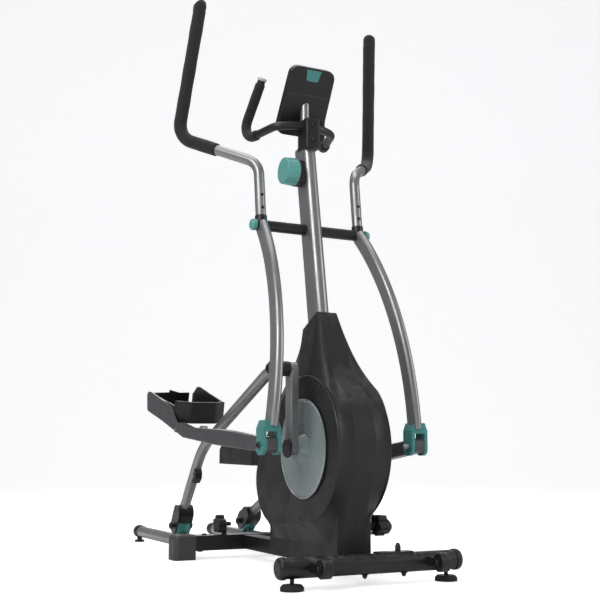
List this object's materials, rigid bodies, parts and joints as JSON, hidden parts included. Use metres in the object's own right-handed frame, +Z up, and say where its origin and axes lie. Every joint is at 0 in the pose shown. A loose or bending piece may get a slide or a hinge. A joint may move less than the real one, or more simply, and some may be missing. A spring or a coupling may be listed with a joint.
{
  "type": "elliptical trainer",
  "caption": "Front-drive elliptical trainer with swing arms, roller arms on rear rails, foot trays, a leaning mast with console, fixed bar and resistance knob.",
  "frame": {"origin": "on the floor, under the middle of the machine's box", "axes": "+Z up; -Y is the front, the way the user faces; +X is the user's left"},
  "size_m": [0.6758, 1.525, 1.6409],
  "materials": {
    "silver_steel": "satin silver powder coat",
    "black_steel": "satin black powder coat",
    "gunmetal_steel": "satin gunmetal powder coat",
    "black_plastic": "fine-textured black moulding",
    "grey_plastic": "grey-green moulding",
    "turquoise_plastic": "satin turquoise moulding",
    "disc_plastic": "smoked grey-teal moulding",
    "foam": "closed-cell black foam",
    "rubber": "black rubber",
    "bright_steel": "zinc-plated steel",
    "cast_iron": "machined cast iron",
    "screen": "display window",
    "pale_plastic": "pale moulding"
  },
  "bodies": {
    "base": {"front_bar": "black_steel", "front_bar_caps": "black_plastic", "base_frame": "black_steel", "rear_beam": "black_steel", "rear_beam_feet": "grey_plastic", "right_rail": "silver_steel", "left_rail": "silver_steel", "rail_feet": "black_plastic", "mast": "silver_steel", "console_post": "silver_steel", "console": "black_plastic", "console_screen": "screen", "handlebar": "black_steel", "handlebar_grips": "foam", "handlebar_ends": "pale_plastic", "handlebar_clamp": "black_plastic", "pivot_tube": "black_steel", "pivot_caps": "turquoise_plastic", "knob_base": "black_plastic", "drive_belt": "rubber", "magnet_brake": "cast_iron", "right_housing": "black_plastic", "left_housing": "black_plastic"},
    "console_button": {"console_button": "turquoise_plastic"},
    "resistance_knob": {"resistance_knob": "turquoise_plastic"},
    "lock_knob": {"lock_knob": "black_plastic"},
    "rear_lock_knob": {"rear_lock_knob": "black_plastic"},
    "crank_set": {"crank_axle": "bright_steel", "drive_pulley": "black_plastic", "right_crank_arm": "silver_steel", "left_crank_arm": "silver_steel", "crank_caps": "black_plastic", "crank_discs": "disc_plastic"},
    "flywheel": {"flywheel": "cast_iron"},
    "right_arm": {"right_lower_arm": "silver_steel", "right_arm_hub": "black_steel", "right_arm_fork": "turquoise_plastic"},
    "right_handle": {"right_upper_arm": "silver_steel", "right_foam_grip": "foam"},
    "right_foot_rail": {"right_foot_rail": "gunmetal_steel", "right_pedal": "black_plastic"},
    "right_roller_arm": {"right_roller_arm": "silver_steel", "right_pin_hub": "black_plastic", "right_roller_bracket": "black_plastic"},
    "right_roller": {"right_roller": "turquoise_plastic"},
    "right_transport_wheel": {"right_transport_wheel": "black_plastic"},
    "right_level_foot": {"right_level_foot": "rubber"},
    "left_arm": {"left_lower_arm": "silver_steel", "left_arm_hub": "black_steel", "left_arm_fork": "turquoise_plastic"},
    "left_handle": {"left_upper_arm": "silver_steel", "left_foam_grip": "foam"},
    "left_foot_rail": {"left_foot_rail": "gunmetal_steel", "left_pedal": "black_plastic"},
    "left_roller_arm": {"left_roller_arm": "silver_steel", "left_pin_hub": "black_plastic", "left_roller_bracket": "black_plastic"},
    "left_roller": {"left_roller": "turquoise_plastic"},
    "left_transport_wheel": {"left_transport_wheel": "black_plastic"},
    "left_level_foot": {"left_level_foot": "rubber"}
  },
  "joints": [
    {"name": "crank_spin", "type": "hinge", "parent": "base", "child": "crank_set", "pos_m": [0, -0.4625, 0.327], "axis": [1, 0, 0], "continuous": true},
    {"name": "flywheel_spin", "type": "hinge", "parent": "base", "child": "flywheel", "pos_m": [0, -0.2925, 0.285], "axis": [1, 0, 0], "continuous": true},
    {"name": "right_arm_swing", "type": "hinge", "parent": "base", "child": "right_arm", "pos_m": [-0.154, -0.3555, 0.941], "axis": [1, 0, 0], "range_deg": [-19, 19]},
    {"name": "right_fork_pivot", "type": "hinge", "parent": "right_arm", "child": "right_foot_rail", "pos_m": [-0.217, -0.54809, 0.33381], "axis": [1, 0, 0], "range_deg": [-15, 15]},
    {"name": "right_link_pivot", "type": "hinge", "parent": "right_foot_rail", "child": "right_roller_arm", "pos_m": [-0.142, 0.10582, 0.38621], "axis": [1, 0, 0], "range_deg": [-7, 7]},
    {"name": "right_roller_spin", "type": "hinge", "parent": "right_roller_arm", "child": "right_roller", "pos_m": [-0.142, 0.30264, 0.0853], "axis": [1, 0, 0], "continuous": true},
    {"name": "right_handle_height", "type": "slide", "parent": "right_arm", "child": "right_handle", "axis": [0, 0.1141, 0.9935], "range_m": [0, 0.038]},
    {"name": "right_transport_wheel_spin", "type": "hinge", "parent": "base", "child": "right_transport_wheel", "pos_m": [-0.161, -0.7395, 0.053], "axis": [1, 0, 0], "continuous": true},
    {"name": "right_level_foot_turn", "type": "hinge", "parent": "base", "child": "right_level_foot", "pos_m": [-0.214, -0.6765, 0], "axis": [0, 0, 1], "continuous": true},
    {"name": "left_arm_swing", "type": "hinge", "parent": "base", "child": "left_arm", "pos_m": [0.154, -0.3555, 0.941], "axis": [1, 0, 0], "range_deg": [-19, 19]},
    {"name": "left_fork_pivot", "type": "hinge", "parent": "left_arm", "child": "left_foot_rail", "pos_m": [0.217, -0.54342, 0.33235], "axis": [1, 0, 0], "range_deg": [-15, 15]},
    {"name": "left_link_pivot", "type": "hinge", "parent": "left_foot_rail", "child": "left_roller_arm", "pos_m": [0.142, 0.10833, 0.25777], "axis": [1, 0, 0], "range_deg": [-7, 7]},
    {"name": "left_roller_spin", "type": "hinge", "parent": "left_roller_arm", "child": "left_roller", "pos_m": [0.142, 0.42382, 0.0853], "axis": [1, 0, 0], "continuous": true},
    {"name": "left_handle_height", "type": "slide", "parent": "left_arm", "child": "left_handle", "axis": [0, 0.1065, 0.9943], "range_m": [0, 0.038]},
    {"name": "left_transport_wheel_spin", "type": "hinge", "parent": "base", "child": "left_transport_wheel", "pos_m": [0.161, -0.7395, 0.053], "axis": [1, 0, 0], "continuous": true},
    {"name": "left_level_foot_turn", "type": "hinge", "parent": "base", "child": "left_level_foot", "pos_m": [0.214, -0.6765, 0], "axis": [0, 0, 1], "continuous": true},
    {"name": "resistance_knob_turn", "type": "hinge", "parent": "base", "child": "resistance_knob", "pos_m": [-0.03, -0.3465, 1.11], "axis": [1, 0, 0], "range_deg": [-150, 150]},
    {"name": "lock_knob_turn", "type": "hinge", "parent": "base", "child": "lock_knob", "pos_m": [0.08, -0.5725, 0.134], "axis": [1, 0, 0], "continuous": true},
    {"name": "rear_lock_knob_turn", "type": "hinge", "parent": "base", "child": "rear_lock_knob", "pos_m": [-0.08, 0.0875, 0.101], "axis": [1, 0, 0], "continuous": true},
    {"name": "console_button_press", "type": "slide", "parent": "base", "child": "console_button", "axis": [0, -0.848, -0.5299], "range_m": [0, 0.0015], "stiffness_N_per_m": 200, "springref_m": -0.0005}
  ],
  "couplings": [
    {"joint": "flywheel_spin", "follows": "crank_spin", "ratio": 5},
    {"joint": "right_fork_pivot", "follows": "right_arm_swing", "ratio": -0.7055},
    {"joint": "right_link_pivot", "follows": "right_arm_swing", "ratio": -0.2945},
    {"joint": "left_arm_swing", "follows": "right_arm_swing", "ratio": -1},
    {"joint": "left_fork_pivot", "follows": "right_arm_swing", "ratio": 0.7117},
    {"joint": "left_link_pivot", "follows": "right_arm_swing", "ratio": 0.2883}
  ]
}
